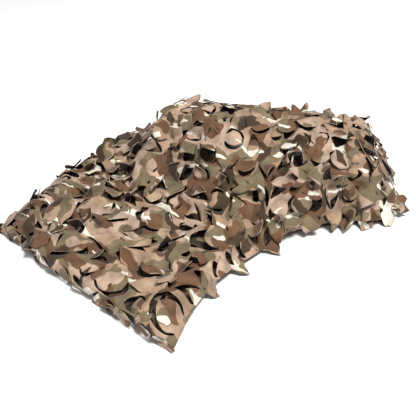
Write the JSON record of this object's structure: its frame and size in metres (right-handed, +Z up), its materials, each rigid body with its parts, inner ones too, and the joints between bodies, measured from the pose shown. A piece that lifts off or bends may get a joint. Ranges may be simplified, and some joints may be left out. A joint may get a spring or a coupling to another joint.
{
  "type": "camouflage netting",
  "caption": "Leaf-cut camouflage cloth lying loose: folded into a flat mat in front, bunched into a long heap behind, its leaves standing out of their holes.",
  "frame": {"origin": "on the ground, below the middle of the box around the netting", "axes": "+Z up; +X to the right along the heap; +Y away from the folded front edge"},
  "size_m": [1.1933, 0.998, 0.2754],
  "materials": {
    "printed_cloth": null
  },
  "bodies": {
    "root": {"leaf_cut_net": "printed_cloth"}
  },
  "joints": []
}
